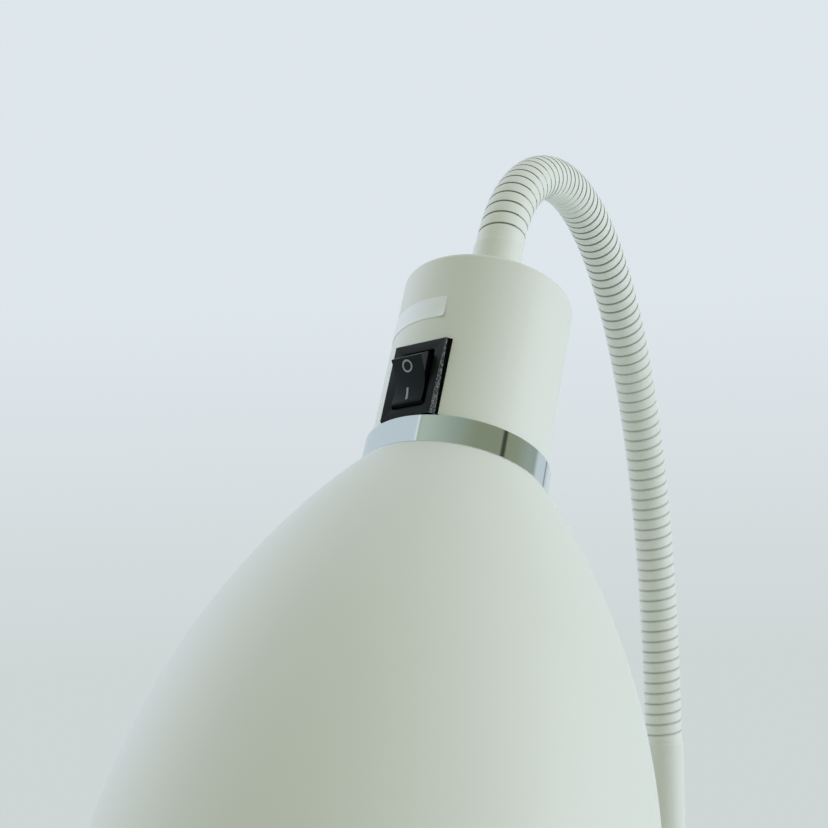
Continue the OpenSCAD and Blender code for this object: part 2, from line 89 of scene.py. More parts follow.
LINK_STARTS = [Matrix.Translation((0, 0, NECK_FOOT))]
for link in range(LINK_COUNT):
    step = Matrix.Translation(in_link(link, Vector((0, 0, (link + 1) * LINK_LENGTH))))
    turn = Matrix.Rotation(bent_below(link + 1) - bent_below(link), 4, "X")
    LINK_STARTS.append(LINK_STARTS[link] @ step @ turn)


def on_neck(point):
    """Where a point of the straight neck lies once the neck is bent."""
    link = min(max(int(point.z / LINK_LENGTH), 0), LINK_COUNT - 1)
    return LINK_STARTS[link] @ in_link(link, point)


# Frames of the head and the switch, for pieces drawn in millimetres. At the switch, x runs across it,
# y points out of the housing and z runs towards the shade
HEAD = LINK_STARTS[LINK_COUNT] @ Matrix.Scale(MM, 4)
SWITCH = HEAD @ Matrix.Rotation(SWITCH_TURN, 4, "Z") @ Matrix.Translation((0, 0, SWITCH_ALONG))


# Materials, with the fineness of their noise in waves to the metre
PAINT_DRIFT, PAINT_PEEL = 9, 900
PLASTIC_DRIFT = 60
METAL_STAIN = 40
FROST_CLOUD = 70
WEAR_SPECKS = 2600
TINT_SPREAD = 0.22
# Heights between which the shade painted into the neck's grooves goes from pale to dark
GROOVE_PALE, GROOVE_DARK = 1.265, 1.33


def new_material(name, color, roughness, metallic=0.0):
    material = bpy.data.materials.new(name)
    material.use_nodes = True
    tree = material.node_tree
    shader = tree.nodes["Principled BSDF"]
    shader.inputs["Base Color"].default_value = (*color, 1)
    shader.inputs["Roughness"].default_value = roughness
    shader.inputs["Metallic"].default_value = metallic
    return material, tree, shader


def add_node(tree, kind, **values):
    node = tree.nodes.new(kind)
    for name, value in values.items():
        if name in node.inputs:
            node.inputs[name].default_value = value
        else:
            setattr(node, name, value)
    return node


def noise(tree, scale, detail=3.0, roughness=0.5):
    place = add_node(tree, "ShaderNodeTexCoord")
    texture = add_node(tree, "ShaderNodeTexNoise", Scale=scale, Detail=detail, Roughness=roughness)
    tree.links.new(place.outputs["Object"], texture.inputs["Vector"])
    return texture


def ramp(tree, source, stops):
    node = add_node(tree, "ShaderNodeValToRGB")
    elements = node.color_ramp.elements
    while len(elements) < len(stops):
        elements.new(0.5)
    for element, (position, color) in zip(elements, stops):
        element.position = position
        element.color = (*color, 1)
    tree.links.new(source, node.inputs["Fac"])
    return node


def map_range(tree, source, **limits):
    """A value brought from one span to another; limits are named like the node's sockets."""
    node = add_node(tree, "ShaderNodeMapRange")
    for name, value in limits.items():
        node.inputs[name.replace("_", " ").title()].default_value = value
    tree.links.new(source, node.inputs["Value"])
    return node


def tint(tree, shader, source, low, high):
    """Base colour that drifts a little between two tints."""
    colors = ramp(tree, source, [(0.5 - TINT_SPREAD, low), (0.5 + TINT_SPREAD, high)])
    tree.links.new(colors.outputs["Color"], shader.inputs["Base Color"])


def rough_range(tree, shader, source, low, high):
    span = map_range(tree, source, to_min=low, to_max=high)
    tree.links.new(span.outputs["Result"], shader.inputs["Roughness"])


def bump(tree, shader, source, distance):
    node = add_node(tree, "ShaderNodeBump", Strength=1, Distance=distance)
    tree.links.new(source, node.inputs["Height"])
    tree.links.new(node.outputs["Normal"], shader.inputs["Normal"])


def powder_coat(name, low, high, roughness=0.5, grain=0.00002):
    """Matte cream paint with a faint orange peel and a slow drift of tone."""
    material, tree, shader = new_material(name, high, roughness)
    drift = noise(tree, PAINT_DRIFT, 4)
    tint(tree, shader, drift.outputs["Fac"], low, high)
    peel = noise(tree, PAINT_PEEL, 2)
    bump(tree, shader, peel.outputs["Fac"], grain)
    rough_range(tree, shader, drift.outputs["Fac"], roughness - 0.04, roughness + 0.05)
    shader.inputs["Specular IOR Level"].default_value = 0.35
    return material


def moulded(name, low, high, roughness, grain=0.00001, scale=1400, specular=0.5):
    """Moulded plastic or rubber with a fine grain."""
    material, tree, shader = new_material(name, high, roughness)
    shader.inputs["Specular IOR Level"].default_value = specular
    drift = noise(tree, PLASTIC_DRIFT, 4)
    tint(tree, shader, drift.outputs["Fac"], low, high)
    rough_range(tree, shader, drift.outputs["Fac"], roughness - 0.05, roughness + 0.06)
    grains = noise(tree, scale, 2)
    bump(tree, shader, grains.outputs["Fac"], grain)
    return material


def bare_metal(name, low, high, roughness):
    """Metal with a faint stain."""
    material, tree, shader = new_material(name, high, roughness, metallic=1.0)
    stain = noise(tree, METAL_STAIN, 5)
    tint(tree, shader, stain.outputs["Fac"], low, high)
    rough_range(tree, shader, stain.outputs["Fac"], roughness * 0.75, roughness * 1.3)
    return material


cream = powder_coat("cream_paint", (0.70, 0.715, 0.625), (0.735, 0.75, 0.665))
# A lighter copy of the head's cream paint for the neck, painting a little light onto its ribs
lit_neck_cream = powder_coat("lit_neck_cream", (0.72, 0.74, 0.645), (0.76, 0.775, 0.685), roughness=0.42,
                         grain=0.00001)
chrome = bare_metal("chrome", (0.80, 0.82, 0.82), (0.84, 0.86, 0.86), 0.035)
switch_black = moulded("switch_black", (0.007, 0.008, 0.0075), (0.010, 0.011, 0.0105), 0.42, specular=0.2)
# Near-black with no sheen: painted shade in the switch's well, on the bezel's sides and on the rocker's
# shaded sides
painted_shade_black = moulded("painted_shade_black", (0.0012, 0.0016, 0.0014), (0.0020, 0.0026, 0.0022), 0.7, specular=0.02)
rocker_black = moulded("rocker_black", (0.008, 0.011, 0.012), (0.011, 0.015, 0.016), 0.36, specular=0.14)
# Lighter copy of the rocker's black: painted light on the rocker's lit sides
rocker_painted_lit = moulded("rocker_painted_lit", (0.022, 0.025, 0.027), (0.028, 0.032, 0.034), 0.5, specular=0.2)
mark_grey = moulded("mark_grey", (0.28, 0.31, 0.33), (0.35, 0.38, 0.40), 0.5)
label_white = moulded("label_white", (0.79, 0.81, 0.78), (0.85, 0.87, 0.84), 0.42, grain=0.000004)
holder_white = moulded("holder_white", (0.76, 0.75, 0.70), (0.80, 0.79, 0.74), 0.35)
pad_rubber = moulded("pad_rubber", (0.012, 0.012, 0.013), (0.024, 0.024, 0.025), 0.8, grain=0.00006,
                     scale=500)
lead_rubber = moulded("lead_rubber", (0.010, 0.010, 0.011), (0.018, 0.018, 0.019), 0.55)
wire_brown = moulded("wire_brown", (0.13, 0.055, 0.03), (0.17, 0.07, 0.04), 0.4)
cast_iron = moulded("cast_iron", (0.028, 0.028, 0.029), (0.05, 0.05, 0.052), 0.7, grain=0.0002, scale=300)
zinc_steel = bare_metal("zinc_steel", (0.42, 0.43, 0.45), (0.56, 0.57, 0.59), 0.32)
brass = bare_metal("brass", (0.52, 0.36, 0.12), (0.64, 0.46, 0.18), 0.28)


def lamp_frost():
    """Frosted glass that lets some light through."""
    material, tree, shader = new_material("lamp_frost", (0.90, 0.90, 0.87), 0.32)
    cloud = noise(tree, FROST_CLOUD, 4)
    tint(tree, shader, cloud.outputs["Fac"], (0.86, 0.86, 0.83), (0.92, 0.92, 0.89))
    shader.inputs["Transmission Weight"].default_value = 0.35
    shader.inputs["Subsurface Weight"].default_value = 0.3
    shader.inputs["Subsurface Radius"].default_value = (0.004, 0.004, 0.004)
    shader.inputs["IOR"].default_value = 1.48
    return material


def scuffed_edge():
    """Black plastic worn to pale specks along an edge."""
    material, tree, shader = new_material("worn_edge", (0.02, 0.02, 0.02), 0.5)
    specks = noise(tree, WEAR_SPECKS, 3, 0.65)
    colors = ramp(tree, specks.outputs["Fac"], [(0.46, (0.012, 0.013, 0.013)), (0.60, (0.20, 0.20, 0.21))])
    tree.links.new(colors.outputs["Color"], shader.inputs["Base Color"])
    bump(tree, shader, specks.outputs["Fac"], 0.00006)
    return material


def painted_groove_shade():
    """Painted shade between the ribs, paler low down where the ribs sit close."""
    material, tree, shader = new_material("painted_groove_shade", (0.1, 0.1, 0.1), 0.6)
    place = add_node(tree, "ShaderNodeTexCoord")
    axes = add_node(tree, "ShaderNodeSeparateXYZ")
    tree.links.new(place.outputs["Object"], axes.inputs["Vector"])
    height = map_range(tree, axes.outputs["Z"], from_min=GROOVE_PALE, from_max=GROOVE_DARK)
    colors = ramp(tree, height.outputs["Result"], [(0.0, (0.60, 0.62, 0.55)), (1.0, (0.12, 0.13, 0.105))])
    tree.links.new(colors.outputs["Color"], shader.inputs["Base Color"])
    return material


frosted_glass = lamp_frost()
# Painted shade for the lines between the neck's ribs
painted_groove_lines = painted_groove_shade()
worn_edge = scuffed_edge()

FINISHES = {
    "paint": cream,
    "chrome": chrome,
    "switch_plastic": switch_black,
    "rocker_plastic": rocker_black,
    "holder_plastic": holder_white,
    "pad_rubber": pad_rubber,
    "inlet_rubber": lead_rubber,
    "lead_rubber": lead_rubber,
    "iron": cast_iron,
    "steel": zinc_steel,
    "brass": brass,
    "wire_plastic": wire_brown,
    "lamp_glass": frosted_glass,
}
for row in frame["record"]["subparts"]:
    solid = nodes[row["node"]]
    solid.data.materials.clear()
    solid.data.materials.append(FINISHES[row["material_slot"]])


# Pieces

def finish_piece(shape, name, materials, sharp=32):
    """Turns a modelled shape into an object, smooth but for its sharp edges."""
    bmesh.ops.recalc_face_normals(shape, faces=shape.faces)
    for face in shape.faces:
        face.smooth = True
    for edge in shape.edges:
        edge.smooth = len(edge.link_faces) == 2 and edge.calc_face_angle(0) < math.radians(sharp)
    mesh = bpy.data.meshes.new(name)
    shape.to_mesh(mesh)
    shape.free()
    for material in materials:
        mesh.materials.append(material)
    piece = bpy.data.objects.new(name, mesh)
    bpy.context.scene.collection.objects.link(piece)
    return piece


def only(kind, parts):
    """The verts, edges or faces among what an operator gives back."""
    return [part for part in parts if isinstance(part, kind)]


def edge_loop(shape, points):
    """A closed line of edges through a few points."""
    verts = [shape.verts.new(point) for point in points]
    edges = [shape.edges.new(pair) for pair in zip(verts, verts[1:] + verts[:1])]
    return verts, edges


# Half of one rib of the wound strip, in millimetres: height from the groove, and depth below the neck's
# outside
HALF_RIB = [(0.00, 0.52), (0.10, 0.46), (0.16, 0.20), (0.26, 0.06), (0.34, 0.03), (0.42, 0.02),
            (0.54, 0.01), (1.20, -0.01)]
RIB_CROWN = -0.02
# How far the painted shade of a groove reaches to each side: (distance along the neck, reach)
GROOVE_REACH = [(100 * MM, 0.50 * MM), (165 * MM, 0.42 * MM), (225 * MM, 0.42 * MM), (248 * MM, 0.17 * MM)]
# On the outside of the bend the painted shade lines widen, by this share at most
GROOVE_OPENING = 0.5
# Where the neck turns most, the ribs close up on the inside of the bend and the painted shade lines narrow:
# (distance along the neck, share)
GROOVE_CLOSING = [(200 * MM, 0), (214 * MM, 0.85), (230 * MM, 0.85), (236 * MM, 0.5), (240 * MM, 0)]
CLOSING_FROM = 0.3
# Past that, towards the head, the painted shade lines widen on the inside too: (distance along the neck,
# share)
GROOVE_PARTING = [(236 * MM, 0), (241 * MM, 1.8)]
PARTING_FROM = 0.15
# The neck's end is smooth, where it meets the collar
CUFF = 2.4 * MM
# Steps in one turn of the strip, and the angle at which its groove crosses each joint
STRIP_STEPS = 64
GROOVE_FACING = math.radians(63.4)
# From this joint on the strip's ends lie on the inside of the bend, and below it on the outside
TURNED_JOINT = 8


def seam(joint):
    """Angle round the neck at which the strip ends at a joint."""
    return math.radians(90 if joint < TURNED_JOINT else -90)


def groove_above(height, angle):
    """The first place above a height where the groove comes round to an angle."""
    return height + RIB_PITCH * ((angle - GROOVE_FACING) / TURN % 1)


def from_groove(point):
    """Distance along the straight neck from a point to the nearest groove."""
    turns = point.z / RIB_PITCH - (math.atan2(point.y, point.x) - GROOVE_FACING) / TURN
    return RIB_PITCH * abs(turns - round(turns))


def along_table(table, place):
    """A value read from a table of places and values, by straight lines."""
    for (first, low), (last, high) in zip(table, table[1:]):
        if place < last:
            return low + (high - low) * max(0, place - first) / (last - first)
    return table[-1][1]


def groove_reach(point):
    """Half the width of the painted shade line at a point of the straight neck."""
    outside = point.y / NECK_RADIUS
    closed = along_table(GROOVE_CLOSING, point.z) * max(0, -outside - CLOSING_FROM) / (1 - CLOSING_FROM)
    parted = along_table(GROOVE_PARTING, point.z) * max(0, PARTING_FROM - outside)
    opened = GROOVE_OPENING * max(0, outside)
    return along_table(GROOVE_REACH, point.z) * (1 + opened + parted) * (1 - closed)


def wound_strip(first, last, angle):
    """The strip wound about a straight axis from one height to another, its start at an angle."""
    shape = bmesh.new()
    pitch = RIB_PITCH / MM
    other_half = [(pitch - height, depth) for height, depth in reversed(HALF_RIB)]
    rib = HALF_RIB + [(pitch / 2, RIB_CROWN)] + other_half
    outline = [(NECK_RADIUS - depth * MM, 0, height * MM) for height, depth in rib]
    outline += [(NECK_BORE, 0, RIB_PITCH), (NECK_BORE, 0, 0)]
    verts, edges = edge_loop(shape, outline)
    place = Matrix.Translation((0, 0, first)) @ Matrix.Rotation(angle, 4, "Z")
    bmesh.ops.transform(shape, matrix=place, verts=verts)
    shape.faces.new(verts)
    turns = (last - first) / RIB_PITCH
    wound = bmesh.ops.spin(shape, geom=verts + edges, cent=(0, 0, 0), axis=(0, 0, 1), angle=turns * TURN,
                           dvec=(0, 0, RIB_PITCH / STRIP_STEPS), steps=round(turns * STRIP_STEPS))
    bmesh.ops.edgeloop_fill(shape, edges=only(bmesh.types.BMEdge, wound["geom_last"]))
    return shape


def trim(shape, height, keep_above):
    """Cuts the straight strip square at one end of the neck and closes the cut."""
    everything = shape.verts[:] + shape.edges[:] + shape.faces[:]
    cut = bmesh.ops.bisect_plane(shape, geom=everything, dist=1e-8, plane_co=(0, 0, height),
                                 plane_no=(0, 0, 1), clear_inner=keep_above, clear_outer=not keep_above)
    rim = only(bmesh.types.BMEdge, cut["geom_cut"])
    bmesh.ops.holes_fill(shape, edges=[edge for edge in rim if edge.is_boundary])


def smooth_end(shape):
    """Fills the groove at the neck's end."""
    for vert in shape.verts:
        wide = vert.co.xy.length
        if vert.co.z > NECK_LENGTH - CUFF and wide > 2 * NECK_BORE:
            vert.co.xy *= NECK_RADIUS / wide


def body_of_link(link):
    """Name of the body that a link belongs to, counted from 0."""
    if link == 0:
        return "stand"
    return "head" if link == LINK_COUNT - 1 else f"neck_{link + 1:02d}"


def cut_height(joint):
    """Where the groove that parts the strip at a joint begins, on the seam."""
    return groove_above(joint * LINK_LENGTH, seam(joint)) - RIB_PITCH


def neck_strip(joint):
    """Strip between two joints that bend the neck, with the joint that sways it in the middle."""
    lowest, highest = joint == 0, joint == LINK_COUNT - 1
    first = groove_above(0, seam(1)) - 2 * RIB_PITCH if lowest else cut_height(joint - 1)
    last = groove_above(NECK_LENGTH, seam(joint)) + RIB_PITCH if highest else cut_height(joint + 1)
    shape = wound_strip(first, last, seam(1 if lowest else joint - 1))
    if lowest:
        trim(shape, 0, keep_above=True)
    if highest:
        trim(shape, NECK_LENGTH, keep_above=False)
        smooth_end(shape)
    # Faces near a groove take the painted groove shade
    for face in shape.faces:
        middle = face.calc_center_median()
        in_groove = from_groove(middle) < groove_reach(middle) and middle.z < NECK_LENGTH - CUFF
        face.material_index = 1 if in_groove else 0
    for vert in shape.verts:
        vert.co = on_neck(vert.co)
    name = f"neck_strip_{joint // 2 + 1:02d}"
    piece = finish_piece(shape, name, [lit_neck_cream, painted_groove_lines], sharp=50)
    if lowest:
        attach(piece, body_of_link(0))
    else:
        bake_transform(piece)
        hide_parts(f"neck_link_{joint:02d}")
    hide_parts(f"neck_link_{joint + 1:02d}")


for joint in range(0, LINK_COUNT, 2):
    neck_strip(joint)


# Switch, in millimetres
BEZEL_WIDTH, BEZEL_LENGTH = 15.6, 20.7
BEZEL_BACK, BEZEL_FRONT = 20.15, 22
BEZEL_CORNER = 0.4
BEZEL_END_EDGE = 0.15
# Bevel along each side; the worn side's grows wider and deeper towards the shade
BEVEL_WIDTH, BEVEL_DEPTH = 0.3, 0.45
WORN_WIDTH, WORN_DEPTH = 0.5, 0.85
BEZEL_FLARE = 0.45
WELL_WIDTH, WELL_LENGTH, WELL_FLOOR = 9.6, 15.4, 14.3
WELL_CORNER, WELL_RIM = 0.8, 0.3
BODY_WIDTH, BODY_LENGTH, BODY_DEPTH = 12.8, 18.8, 13
PIVOT = 19.5
ROCKER_WIDTH = 9
ROCKER_TILT = math.radians(17)
# Half of the rocker seen from its side: height above the pivot and distance from its middle
ROCKER_END = [(5.1, 5.7), (2.2, 7.0), (-2.5, 6.0)]
ROCKER_TIP = ROCKER_END[0][0]
ROCKER_TIP_EDGE, ROCKER_SIDE_EDGE = 0.14, 0.2
FACE_RADIUS, FACE_MIDDLE, FACE_REACH = 10.732, 3.7, 5.3
FACE_STEPS = 20
# The rocker's sides are painted lit above a slanting line, and painted in black shade below it
SIDE_LIT_FROM = Vector((0, 2.6, -5.7))
SIDE_LIT_NORMAL = Vector((0, 4.2, -1.2))
# Marks on the rocker: where they sit, from its middle, and their size
OFF_MARK_AT, OFF_MARK_RADII = (-0.25, -3.6, 0), (1.46, 1.05)
ON_MARK_AT, ON_MARK_SIZE = (-0.38, 3.15, 0), (0.55, 3.2, 1, 1)
ON_MARK_LEAN = math.radians(-6.7)
INK_SUNK, INK_THICK = 0.01, 0.04
# Slack for finding edges by where they lie
SLACK = 0.01


def round_over(shape, edges, offset, segments, material=-1):
    """Bevels edges; the new faces are returned."""
    return bmesh.ops.bevel(shape, geom=edges, offset=offset, offset_type="OFFSET", affect="EDGES",
                           segments=segments, profile=0.5, clamp_overlap=True, material=material)["faces"]


def push(shape, face, move):
    """Draws a face out, or in, along a move; the face that ends up there is returned."""
    made = bmesh.ops.extrude_discrete_faces(shape, faces=[face])["faces"]
    bmesh.ops.translate(shape, verts=made[0].verts, vec=move)
    return made[0]


def resize(shape, face, width, length):
    """Brings a face of the switch to a width and a length, about the switch's middle."""
    wide, long = (2 * max(vert.co[axis] for vert in face.verts) for axis in (0, 2))
    bmesh.ops.scale(shape, vec=(width / wide, 1, length / long), verts=face.verts)


def front_edges(shape, picked):
    """Edges where the bezel's front turns down, picked by the spot in their middle."""
    shape.normal_update()
    found = []
    for edge in shape.edges:
        leans = sorted(face.normal.y for face in edge.link_faces)
        if leans[1] > 0.99 and leans[0] < 0.5 and picked((edge.verts[0].co + edge.verts[1].co) / 2):
            found.append(edge)
    return found


def switch_frame():
    """Bezel and body of the switch, with the well that the rocker sits in."""
    shape = bmesh.new()
    thick = BEZEL_FRONT - BEZEL_BACK
    size = Matrix.Diagonal((BEZEL_WIDTH, thick, BEZEL_LENGTH, 1))
    bmesh.ops.create_cube(shape, size=1, matrix=Matrix.Translation((0, BEZEL_BACK + thick / 2, 0)) @ size)
    wide, long = BEZEL_WIDTH / 2 - SLACK, BEZEL_LENGTH / 2 - SLACK
    sides = front_edges(shape, lambda spot: abs(spot.x) > wide)
    bevel = {vert for face in round_over(shape, sides, BEVEL_WIDTH, 3, material=1) for vert in face.verts}
    shape.normal_update()
    front = max(shape.faces, key=lambda face: face.normal.y)
    back = min(shape.faces, key=lambda face: face.normal.y)
    well = push(shape, front, (0, 0, 0))
    resize(shape, well, WELL_WIDTH, WELL_LENGTH)
    floor = push(shape, well, (0, WELL_FLOOR - BEZEL_FRONT, 0))
    inside = [edge for vert in floor.verts for edge in vert.link_edges if edge not in floor.edges[:]]
    resize(shape, back, BEZEL_WIDTH + 2 * BEZEL_FLARE, BEZEL_LENGTH)
    far_end = [vert for vert in back.verts if vert.co.z < 0]
    bmesh.ops.translate(shape, verts=far_end, vec=(0, 0, -BEZEL_FLARE))
    body = push(shape, back, (0, 0, 0))
    resize(shape, body, BODY_WIDTH, BODY_LENGTH)
    push(shape, body, (0, -BODY_DEPTH, 0))
    for vert in bevel:
        depth = (BEZEL_FRONT - vert.co.y) / BEVEL_WIDTH
        worn = vert.co.z / BEZEL_LENGTH + 0.5 if vert.co.x > 0 else 0
        vert.co.x -= WORN_WIDTH * worn * (1 - depth)
        vert.co.y = BEZEL_FRONT - depth * (BEVEL_DEPTH + WORN_DEPTH * worn)
    round_over(shape, inside, WELL_CORNER, 4)
    shape.normal_update()
    # Faces down in the well and on the bezel's sides are painted in shade
    for face in shape.faces:
        in_well = max(abs(vert.co.x) for vert in face.verts) < WELL_WIDTH / 2 + SLACK
        on_side = abs(face.normal.x) > 0.3
        if face.material_index == 0 and face.normal.y < 0.5 and (in_well or on_side):
            face.material_index = 2
    rim = front_edges(shape, lambda spot: abs(spot.x) < 0.8 * wide and abs(spot.z) < 0.8 * long)
    round_over(shape, rim, WELL_RIM, 2)
    corners = [edge for edge in shape.edges if abs(edge.verts[0].co.y - edge.verts[1].co.y) > 0.5
               and all(abs(vert.co.x) > wide and abs(vert.co.z) > long for vert in edge.verts)]
    round_over(shape, corners, BEZEL_CORNER, 3)
    round_over(shape, front_edges(shape, lambda spot: abs(spot.z) > long), BEZEL_END_EDGE, 2)
    bmesh.ops.transform(shape, matrix=SWITCH, verts=shape.verts)
    piece = finish_piece(shape, "switch_frame", [switch_black, worn_edge, painted_shade_black])
    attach(piece, "head")
    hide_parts("switch_body")


def on_face(across, along, proud=0.0):
    """A point on the rocker's hollowed face, seen from its pivot."""
    return Vector((across, FACE_MIDDLE + FACE_RADIUS - math.sqrt(FACE_RADIUS**2 - along**2) + proud, along))


ROCKER = SWITCH @ Matrix.Translation((0, PIVOT, 0)) @ Matrix.Rotation(ROCKER_TILT, 4, "X")


def rocker():
    """Rocker drawn from its side: hollowed face, flat tips and sloping ends."""
    near = [Vector((0, height, along)) for height, along in ROCKER_END]
    far = [Vector((0, height, -along)) for height, along in reversed(ROCKER_END)]
    face = [on_face(0, FACE_REACH * (2 * step / FACE_STEPS - 1)) for step in range(FACE_STEPS + 1)]
    shape = bmesh.new()
    verts, _ = edge_loop(shape, face + near + far)
    side = shape.faces.new(verts)
    bmesh.ops.translate(shape, verts=verts, vec=(-ROCKER_WIDTH / 2, 0, 0))
    made = bmesh.ops.extrude_face_region(shape, geom=[side], use_keep_orig=True)["geom"]
    bmesh.ops.translate(shape, verts=only(bmesh.types.BMVert, made), vec=(ROCKER_WIDTH, 0, 0))
    bmesh.ops.recalc_face_normals(shape, faces=shape.faces)
    everything = shape.verts[:] + shape.edges[:] + shape.faces[:]
    bmesh.ops.bisect_plane(shape, geom=everything, dist=1e-6, plane_co=SIDE_LIT_FROM,
                           plane_no=SIDE_LIT_NORMAL)
    # Side faces above the line take the painted light, those below it the painted shade
    for face in shape.faces:
        lit = SIDE_LIT_NORMAL.dot(face.calc_center_median() - SIDE_LIT_FROM) > 0
        face.material_index = (1 if lit else 2) if abs(face.normal.x) > 0.9 else 0
    tips = [edge for edge in shape.edges if abs(edge.verts[0].co.x - edge.verts[1].co.x) > 1
            and edge.verts[0].co.y > ROCKER_TIP - 1e-3]
    round_over(shape, tips, ROCKER_TIP_EDGE, 2)
    across = [edge for edge in shape.edges if abs(edge.verts[0].co.x - edge.verts[1].co.x) < 1e-4
              and edge.calc_face_angle(0) > 0.5]
    round_over(shape, across, ROCKER_SIDE_EDGE, 2)
    bmesh.ops.transform(shape, matrix=ROCKER, verts=shape.verts)
    piece = finish_piece(shape, "rocker", [rocker_black, rocker_painted_lit, painted_shade_black])
    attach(piece, "rocker")
    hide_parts("switch_rocker")


def print_mark(shape, name):
    """Lays a flat mark on the rocker's face, with a little thickness of ink."""
    for vert in shape.verts:
        vert.co = on_face(vert.co.x, vert.co.y, -INK_SUNK)
    made = bmesh.ops.extrude_face_region(shape, geom=shape.faces[:], use_keep_orig=True)["geom"]
    bmesh.ops.translate(shape, verts=only(bmesh.types.BMVert, made), vec=(0, INK_THICK, 0))
    bmesh.ops.transform(shape, matrix=ROCKER, verts=shape.verts)
    piece = finish_piece(shape, name, [mark_grey])
    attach(piece, "rocker")


def off_mark():
    """A ring, for off."""
    shape = bmesh.new()
    place = Matrix.Translation(OFF_MARK_AT)
    for radius in OFF_MARK_RADII:
        bmesh.ops.create_circle(shape, segments=40, radius=radius, matrix=place)
    bmesh.ops.bridge_loops(shape, edges=shape.edges[:])
    print_mark(shape, "off_mark")


def on_mark():
    """A stroke, for on."""
    shape = bmesh.new()
    lean = Matrix.Rotation(ON_MARK_LEAN, 4, "Z")
    place = Matrix.Translation(ON_MARK_AT) @ lean @ Matrix.Diagonal(ON_MARK_SIZE)
    bmesh.ops.create_grid(shape, x_segments=1, y_segments=8, size=0.5, matrix=place)
    print_mark(shape, "on_mark")


switch_frame()
rocker()
off_mark()
on_mark()


# Bare sticker round the housing, beside the switch; one corner has come away a little
STICKER_FROM, STICKER_TO = math.radians(92.9), math.radians(155)
STICKER_ALONG, STICKER_WIDTH = 29.2, 5.9
STICKER_CORNER = 0.405
STICKER_GAP, STICKER_THICK = 0.02, 0.09
# How far the loose corner stands off, and how far from the corner that begins
STICKER_LIFT, STICKER_PEEL = 0.45, 2.6


def sticker():
    """Thin bent label with rounded corners."""
    shape = bmesh.new()
    length = (STICKER_TO - STICKER_FROM) * HOUSING_RADIUS
    size = Matrix.Diagonal((length, STICKER_WIDTH, 1, 1))
    place = Matrix.Translation((length / 2, STICKER_WIDTH / 2, 0)) @ size
    bmesh.ops.create_grid(shape, x_segments=48, y_segments=12, size=0.5, matrix=place)
    corners = [vert for vert in shape.verts if len(vert.link_edges) == 2]
    bmesh.ops.bevel(shape, geom=corners, offset=STICKER_CORNER, offset_type="OFFSET", affect="VERTICES",
                    segments=4, profile=0.5, material=-1)
    for vert in shape.verts:
        peel = max(0, 1 - math.hypot(vert.co.x, STICKER_WIDTH - vert.co.y) / STICKER_PEEL)
        angle = STICKER_FROM + vert.co.x / HOUSING_RADIUS
        radius = HOUSING_RADIUS + STICKER_GAP + STICKER_LIFT * peel * peel
        vert.co = (radius * math.cos(angle), radius * math.sin(angle), STICKER_ALONG + vert.co.y)
    bmesh.ops.recalc_face_normals(shape, faces=shape.faces)
    made = bmesh.ops.extrude_face_region(shape, geom=shape.faces[:], use_keep_orig=True)["geom"]
    for vert in only(bmesh.types.BMVert, made):
        outward = Vector((vert.co.x, vert.co.y, 0)).normalized()
        vert.co += STICKER_THICK * outward
    bmesh.ops.transform(shape, matrix=HEAD, verts=shape.verts)
    piece = finish_piece(shape, "sticker", [label_white])
    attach(piece, "head")


sticker()


# Stage, light and camera
CAMERA_PLACE = Vector((159.36, -578.11, 1269.67)) * MM
CAMERA_TURN = [math.radians(angle) for angle in (88.679, 1.680, 23.211)]
CAMERA_LENS, SENSOR_WIDTH, NEAREST_SEEN = 76.087, 36, 0.02
FLOOR_RADIUS = 3.5
# Shares of the floor's radius between which it fades out
FLOOR_FADE = (0.35, 0.98)
# Heights of a view's direction between which the backdrop changes, and its colours
BACKDROP_LOW, BACKDROP_HIGH = -0.16, 0.04
BACKDROP = [(0.0, (0.62, 0.67, 0.67)), (1.0, (0.73, 0.795, 0.84))]
ROOM_LIGHT = (0.46, 0.495, 0.416)
# Direction, narrowness and colour of each window
WINDOWS = [
    ((0.945, 0.260, 0.200), 30, (4.39, 4.69, 5.88)),
    ((-0.846, 0.427, 0.319), 10, (1.90, 2.02, 2.88)),
]
# Two directions square to the head's axis
HEAD_SIDE_X = (1, 0, 0)
HEAD_SIDE_Y = (0, -0.85, 0.527)
PALE_WALL = (0.56, 0.65, 0.70)
BRIGHT_WALL = (0.74, 0.85, 0.88)
GREY_WALL = (0.43, 0.515, 0.44)
DIM_WALL = (0.30, 0.37, 0.32)
OLIVE_WALL = (0.243, 0.286, 0.20)
DARK_EDGE = (0.05, 0.06, 0.04)
# Angle in degrees round the head's axis, and what stands there
ROOM_SIDES = [
    (-180, PALE_WALL), (-115, PALE_WALL), (-100, BRIGHT_WALL), (-74, PALE_WALL),
    (-71, DARK_EDGE), (-68, DARK_EDGE), (-65, PALE_WALL), (-46, PALE_WALL),
    (-40, DIM_WALL), (-27, DIM_WALL), (-5, OLIVE_WALL), (9, OLIVE_WALL),
    (11, DARK_EDGE), (15, DARK_EDGE), (17, OLIVE_WALL), (50, OLIVE_WALL),
    (75, DIM_WALL), (112, GREY_WALL), (119, GREY_WALL), (120, DIM_WALL),
    (122, BRIGHT_WALL), (125, PALE_WALL), (180, PALE_WALL),
]


def world_math(tree, operation, first, second):
    """A sum or the like of two numbers or sockets."""
    node = add_node(tree, "ShaderNodeMath", operation=operation)
    for socket, value in zip(node.inputs, (first, second)):
        if isinstance(value, (int, float)):
            socket.default_value = value
        else:
            tree.links.new(value, socket)
    return node.outputs["Value"]


def toward(tree, place, direction):
    """How far a direction points one way, from -1 to 1."""
    node = add_node(tree, "ShaderNodeVectorMath", operation="DOT_PRODUCT")
    node.inputs[1].default_value = direction
    tree.links.new(place.outputs["Generated"], node.inputs[0])
    return node.outputs["Value"]


